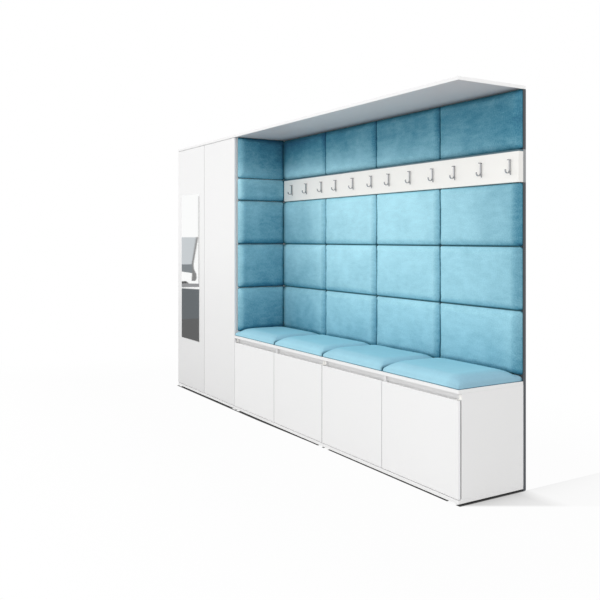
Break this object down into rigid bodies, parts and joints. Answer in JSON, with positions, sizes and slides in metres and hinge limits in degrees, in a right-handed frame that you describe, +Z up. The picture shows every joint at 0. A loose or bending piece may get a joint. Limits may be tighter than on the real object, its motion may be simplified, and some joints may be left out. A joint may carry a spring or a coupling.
{
  "type": "hallway wardrobe",
  "caption": "Hallway set: tall wardrobe with a mirrored door beside cushioned bench cabinets, a padded wall with a coat-hook rail, and a flat canopy.",
  "frame": {"origin": "on the floor, under the middle of the set's outer box", "axes": "+X along the wall from the wardrobe to the bench's free end, +Y from the door fronts to the wall, +Z up"},
  "size_m": [3.42, 0.45, 2],
  "materials": {
    "white_board": "white lacquered board, satin",
    "dark_board": "graphite board",
    "pad_fabric": "short velvet, light teal blue",
    "seat_fabric": "short velvet, light teal blue",
    "mirror": "polished mirror glass",
    "hook_metal": "brushed grey metal",
    "steel": "plated steel",
    "chrome": "chromed tube",
    "white_plastic": "white moulded plastic",
    "clear_plastic": "pale grey plastic",
    "magnet": "dark plated metal"
  },
  "bodies": {
    "carcass": {"back_pads_row_1": "pad_fabric", "back_pads_row_3": "pad_fabric", "back_pads_row_4": "pad_fabric", "back_pads_row_5": "pad_fabric", "backboard_lower": "dark_board", "backboard_upper": "dark_board", "bench_backs": "white_board", "bench_bottoms": "white_board", "bench_dividers": "white_board", "bench_pivot_brackets": "steel", "bench_shelves": "white_board", "bench_side_panels": "white_board", "bench_top": "white_board", "canopy": "white_board", "coat_hooks_1": "hook_metal", "coat_hooks_2": "hook_metal", "coat_hooks_3": "hook_metal", "coat_hooks_4": "hook_metal", "door_magnets": "magnet", "feet": "clear_plastic", "grip_rails": "white_board", "hanging_rod": "chrome", "hook_rail": "white_board", "pivot_blocks": "white_plastic", "push_latch_housings": "white_plastic", "rail_carrier": "dark_board", "rod_sockets": "white_plastic", "seat_cushion_1": "seat_fabric", "seat_cushion_2": "seat_fabric", "seat_cushion_3": "seat_fabric", "seat_cushion_4": "seat_fabric", "shelf_supports": "clear_plastic", "side_pad_1": "pad_fabric", "side_pad_2": "pad_fabric", "side_pad_3": "pad_fabric", "side_pad_4": "pad_fabric", "side_pad_5": "pad_fabric", "wardrobe_back": "white_board", "wardrobe_bottom": "white_board", "wardrobe_divider": "white_board", "wardrobe_left_side": "white_board", "wardrobe_right_side": "white_board", "wardrobe_shelves": "white_board", "wardrobe_top": "white_board"},
    "wardrobe_door_left_leaf": {"wardrobe_door_left": "white_board", "wardrobe_door_left_pivot_pins": "steel", "door_mirror": "mirror"},
    "wardrobe_door_right_leaf": {"wardrobe_door_right": "white_board", "wardrobe_door_right_pivot_pins": "steel"},
    "bench_door_1_leaf": {"bench_door_1": "white_board", "bench_door_1_pivot_pins": "steel"},
    "bench_door_2_leaf": {"bench_door_2": "white_board", "bench_door_2_pivot_pins": "steel"},
    "bench_door_3_leaf": {"bench_door_3": "white_board", "bench_door_3_pivot_pins": "steel"},
    "bench_door_4_leaf": {"bench_door_4": "white_board", "bench_door_4_pivot_pins": "steel"},
    "latch_plunger_left": {"push_latch_plunger_left": "white_plastic"},
    "latch_plunger_right": {"push_latch_plunger_right": "white_plastic"}
  },
  "joints": [
    {"name": "wardrobe_door_left_hinge", "type": "hinge", "parent": "carcass", "child": "wardrobe_door_left_leaf", "pos_m": [-1.6995, -0.2155, 1.0045], "axis": [0, 0, -1], "range_deg": [0, 90]},
    {"name": "wardrobe_door_right_hinge", "type": "hinge", "parent": "carcass", "child": "wardrobe_door_right_leaf", "pos_m": [-0.6405, -0.2155, 1.0045], "axis": [0, 0, 1], "range_deg": [0, 90]},
    {"name": "bench_door_1_hinge", "type": "hinge", "parent": "carcass", "child": "bench_door_1_leaf", "pos_m": [-0.6195, -0.2155, 0.26], "axis": [0, 0, -1], "range_deg": [0, 90]},
    {"name": "bench_door_2_hinge", "type": "hinge", "parent": "carcass", "child": "bench_door_2_leaf", "pos_m": [0.5295, -0.2155, 0.26], "axis": [0, 0, 1], "range_deg": [0, 90]},
    {"name": "bench_door_3_hinge", "type": "hinge", "parent": "carcass", "child": "bench_door_3_leaf", "pos_m": [0.5505, -0.2155, 0.26], "axis": [0, 0, -1], "range_deg": [0, 90]},
    {"name": "bench_door_4_hinge", "type": "hinge", "parent": "carcass", "child": "bench_door_4_leaf", "pos_m": [1.6995, -0.2155, 0.26], "axis": [0, 0, 1], "range_deg": [0, 90]},
    {"name": "push_latch_left", "type": "slide", "parent": "carcass", "child": "latch_plunger_left", "axis": [0, 1, 0], "range_m": [0, 0.003], "stiffness_N_per_m": 200},
    {"name": "push_latch_right", "type": "slide", "parent": "carcass", "child": "latch_plunger_right", "axis": [0, 1, 0], "range_m": [0, 0.003], "stiffness_N_per_m": 200}
  ]
}
